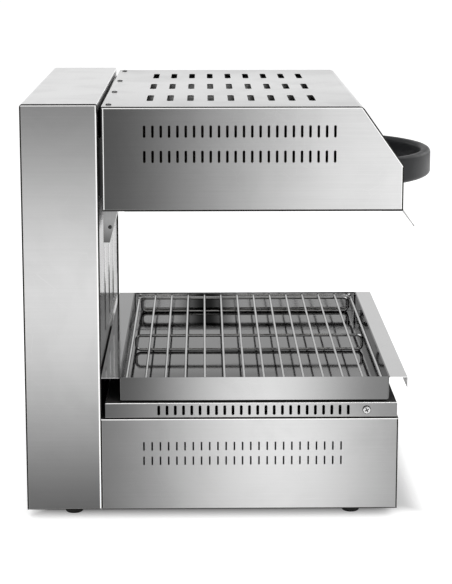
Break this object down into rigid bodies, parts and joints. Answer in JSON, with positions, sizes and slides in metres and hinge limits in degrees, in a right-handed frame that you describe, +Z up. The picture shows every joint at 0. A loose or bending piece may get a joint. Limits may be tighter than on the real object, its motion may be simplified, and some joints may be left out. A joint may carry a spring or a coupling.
{
  "type": "cheese melter",
  "caption": "Lift-type electric cheese melter: a counterweighted hood with heating elements slides on a column over a base with drip tray and wire rack.",
  "frame": {"origin": "under the middle of the whole object, on the surface it stands on", "axes": "+Z up, the front and its handle towards -Y, +X to the right seen from the front"},
  "size_m": [0.4532, 0.531, 0.5115],
  "materials": {
    "brushed_panel": "brushed lengthwise, satin",
    "polished_panel": "polished bright",
    "plain_steel": "mill finish",
    "bright_wire": "bright plated",
    "screw_steel": "turned, bright",
    "shoe_plastic": "natural moulded",
    "weight_iron": "as cast, painted",
    "foot_rubber": "moulded",
    "seal_black": "matt",
    "handle_black": "fine moulded texture, low sheen",
    "knob_black": "satin moulded",
    "switch_black": "gloss moulded",
    "control_body": "zinc plated",
    "terminal_white": "glazed",
    "lens_amber": "clear tinted",
    "lens_green": "clear tinted",
    "element_tube": "oxidised dark",
    "insulation_wool": "mineral fibre board"
  },
  "bodies": {
    "chassis": {"base_floor": "plain_steel", "base_side_left": "brushed_panel", "base_side_right": "brushed_panel", "base_front_panel": "brushed_panel", "deck_seal": "seal_black", "base_deck": "brushed_panel", "deck_screws": "screw_steel", "tray_runners": "plain_steel", "rubber_feet": "foot_rubber", "foot_screws": "screw_steel", "column_wrap": "brushed_panel", "column_side_left": "brushed_panel", "column_side_right": "brushed_panel", "column_front_panel": "polished_panel", "guide_rods": "screw_steel", "rod_foot_blocks": "plain_steel", "rod_top_bracket": "plain_steel", "pulley_ears": "plain_steel", "pulley_pins": "screw_steel", "lift_cables": "screw_steel", "counterweight_guides": "plain_steel", "thermostat": "control_body", "timer": "switch_black", "lamp_bezels": "switch_black", "heat_lamp_lens": "lens_amber", "power_lamp_lens": "lens_green", "power_switch": "switch_black", "cable_gland": "switch_black", "terminal_block": "terminal_white"},
    "hood": {"hood_wrap": "brushed_panel", "hood_side_left": "brushed_panel", "hood_side_right": "brushed_panel", "hood_rear_panel": "plain_steel", "hood_screws": "screw_steel", "reflector": "plain_steel", "insulation": "insulation_wool", "heat_shield": "plain_steel", "heating_element_front": "element_tube", "heating_element_rear": "element_tube", "element_clips": "element_tube", "hood_handle": "handle_black", "handle_screws": "screw_steel", "heat_flap": "brushed_panel", "rear_skirt": "brushed_panel", "carriage_plate": "plain_steel", "carriage_shoes": "shoe_plastic", "lift_arm_left": "plain_steel", "lift_arm_right": "plain_steel"},
    "counterweight": {"counterweight": "weight_iron"},
    "pulley_left": {"pulley_left": "shoe_plastic"},
    "pulley_right": {"pulley_right": "shoe_plastic"},
    "thermostat_knob": {"thermostat_knob": "knob_black", "thermostat_spindle": "screw_steel"},
    "timer_knob": {"timer_knob": "knob_black", "timer_spindle": "screw_steel"},
    "rocker": {"rocker": "switch_black"},
    "tray": {"drip_tray": "polished_panel"},
    "rack": {"rack_ring": "bright_wire", "rack_loops": "bright_wire", "rack_wires": "bright_wire"}
  },
  "joints": [
    {"name": "hood_lift", "type": "slide", "parent": "chassis", "child": "hood", "axis": [0, 0, 1], "range_m": [-0.15, 0], "deforming": ["lift_cables"]},
    {"name": "counterweight_rise", "type": "slide", "parent": "chassis", "child": "counterweight", "axis": [0, 0, 1], "range_m": [0, 0.15]},
    {"name": "pulley_left_turn", "type": "hinge", "parent": "chassis", "child": "pulley_left", "pos_m": [-0.06, 0.202, 0.4865], "axis": [1, 0, 0], "range_deg": [0, 430]},
    {"name": "pulley_right_turn", "type": "hinge", "parent": "chassis", "child": "pulley_right", "pos_m": [0.06, 0.202, 0.4865], "axis": [1, 0, 0], "range_deg": [0, 430]},
    {"name": "thermostat_turn", "type": "hinge", "parent": "chassis", "child": "thermostat_knob", "pos_m": [0.075, -0.203, 0.0645], "axis": [0, 1, 0], "range_deg": [0, 270]},
    {"name": "timer_turn", "type": "hinge", "parent": "chassis", "child": "timer_knob", "pos_m": [0.16, -0.203, 0.0645], "axis": [0, 1, 0], "range_deg": [0, 300]},
    {"name": "rocker_tilt", "type": "hinge", "parent": "chassis", "child": "rocker", "pos_m": [0.005, -0.2, 0.0645], "axis": [1, 0, 0], "range_deg": [-20, 0]},
    {"name": "tray_slide", "type": "slide", "parent": "chassis", "child": "tray", "axis": [0, -1, 0], "range_m": [0, 0.16]},
    {"name": "rack_lift", "type": "slide", "parent": "tray", "child": "rack", "axis": [0, 0, 1], "range_m": [0, 0.03]}
  ],
  "couplings": [
    {"joint": "counterweight_rise", "follows": "hood_lift", "ratio": -1},
    {"joint": "pulley_left_turn", "follows": "hood_lift", "rad_per_m": -50},
    {"joint": "pulley_right_turn", "follows": "hood_lift", "rad_per_m": -50}
  ]
}
